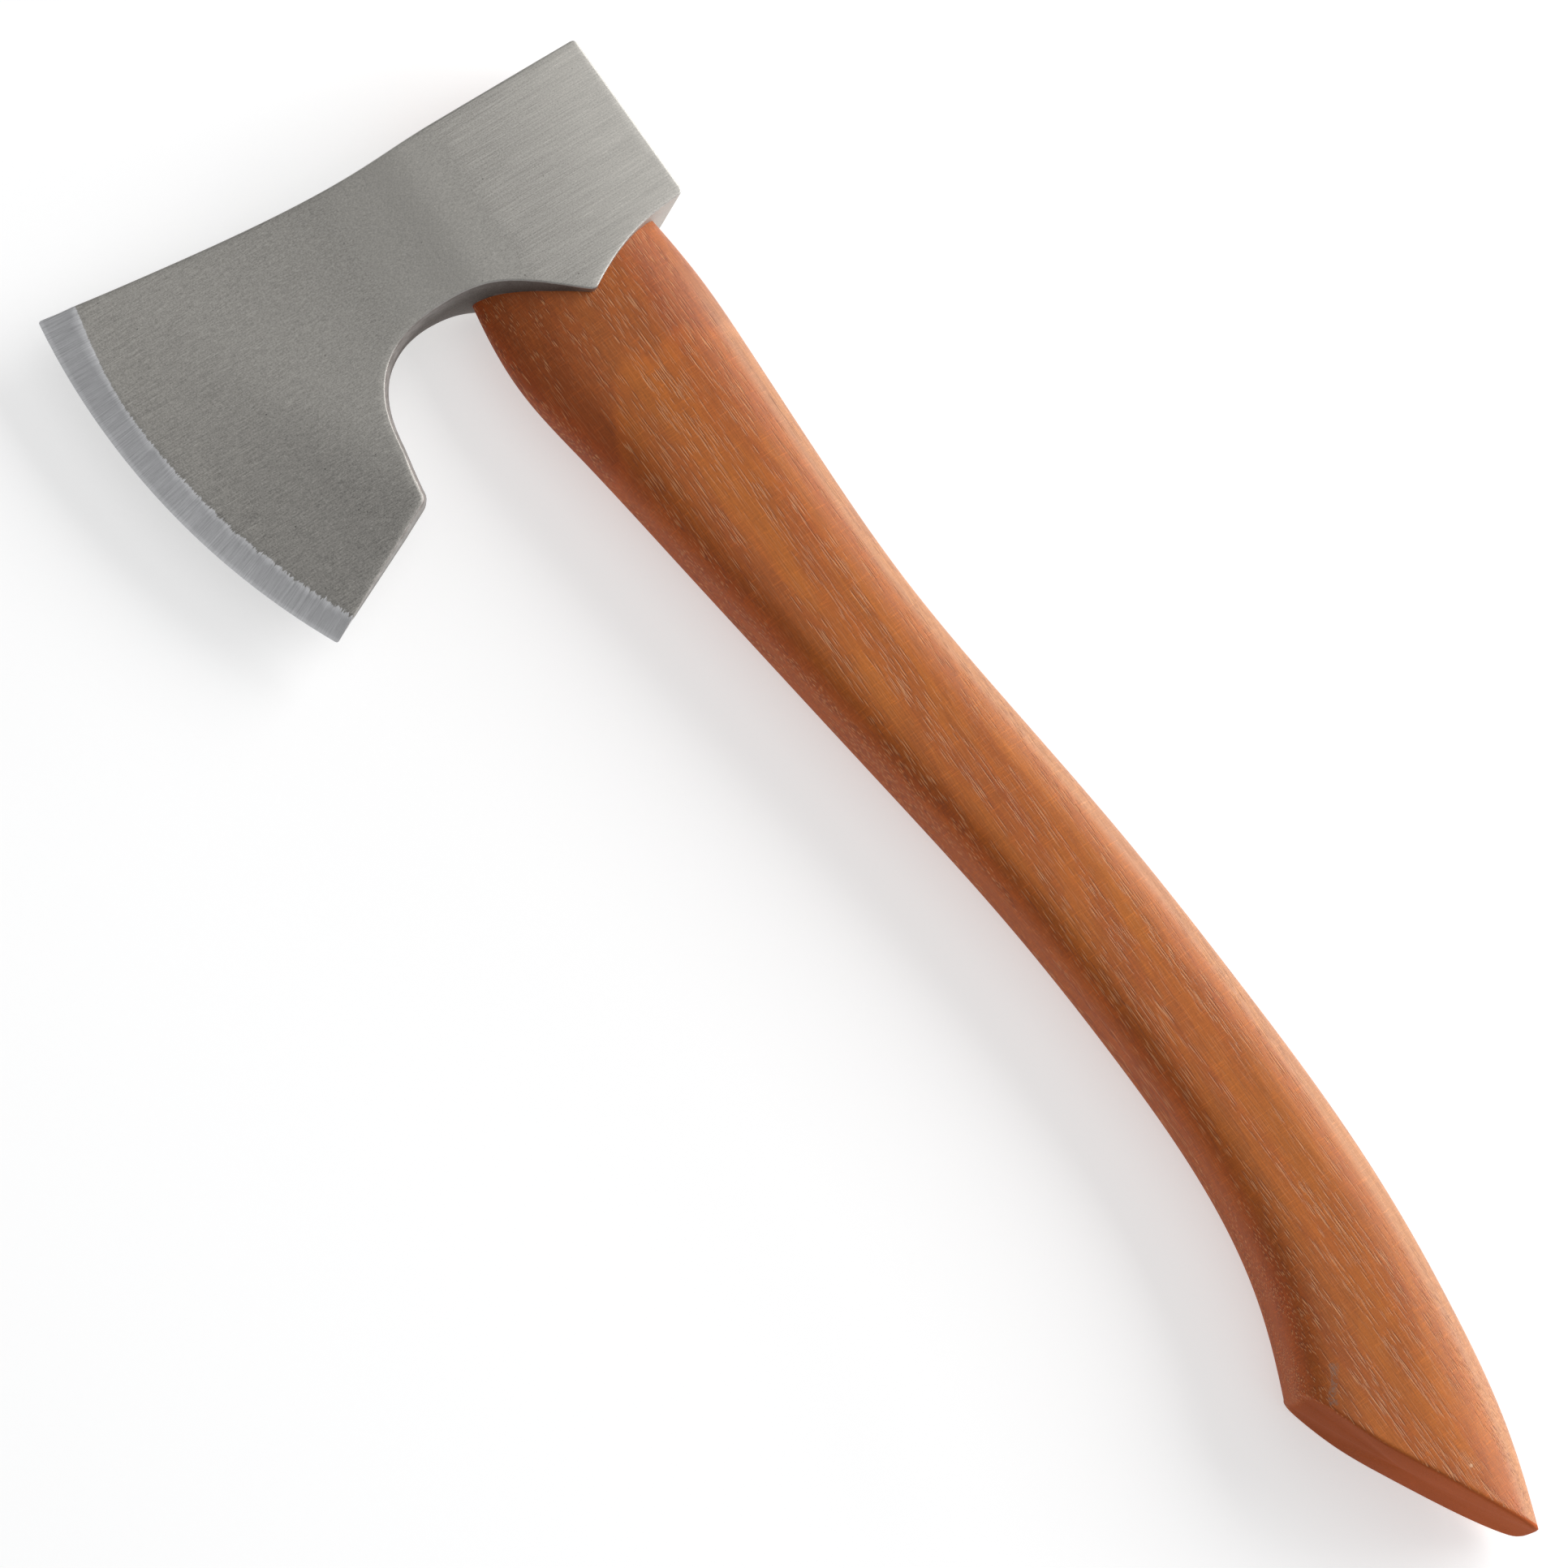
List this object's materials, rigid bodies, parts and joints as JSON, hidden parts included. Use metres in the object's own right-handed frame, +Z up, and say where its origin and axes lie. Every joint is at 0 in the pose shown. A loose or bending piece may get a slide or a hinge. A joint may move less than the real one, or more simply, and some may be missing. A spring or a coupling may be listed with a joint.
{
  "type": "hatchet",
  "caption": "Compact bearded hatchet with a hammer poll and a curved wooden handle wedged into the eye of a forged steel head.",
  "frame": {"origin": "on the lower cheek, under the middle of the eye and halfway up the poll", "axes": "+X along the handle towards the top of the head, +Y towards the cutting edge, +Z up with the hatchet lying on its side"},
  "size_m": [0.3509, 0.1293, 0.024],
  "materials": {
    "head_steel": "bead-blasted grey with fine brushing along the head, and a bright ground bevel",
    "handle_wood": "reddish brown stain under satin lacquer, open pores along the grain",
    "wedge_wood": "bare pale hardwood",
    "wedge_steel": "plain mild steel, hammered head"
  },
  "bodies": {
    "root": {"axe_head": "head_steel", "handle": "handle_wood", "wooden_wedge": "wedge_wood", "steel_wedge": "wedge_steel"}
  },
  "joints": []
}
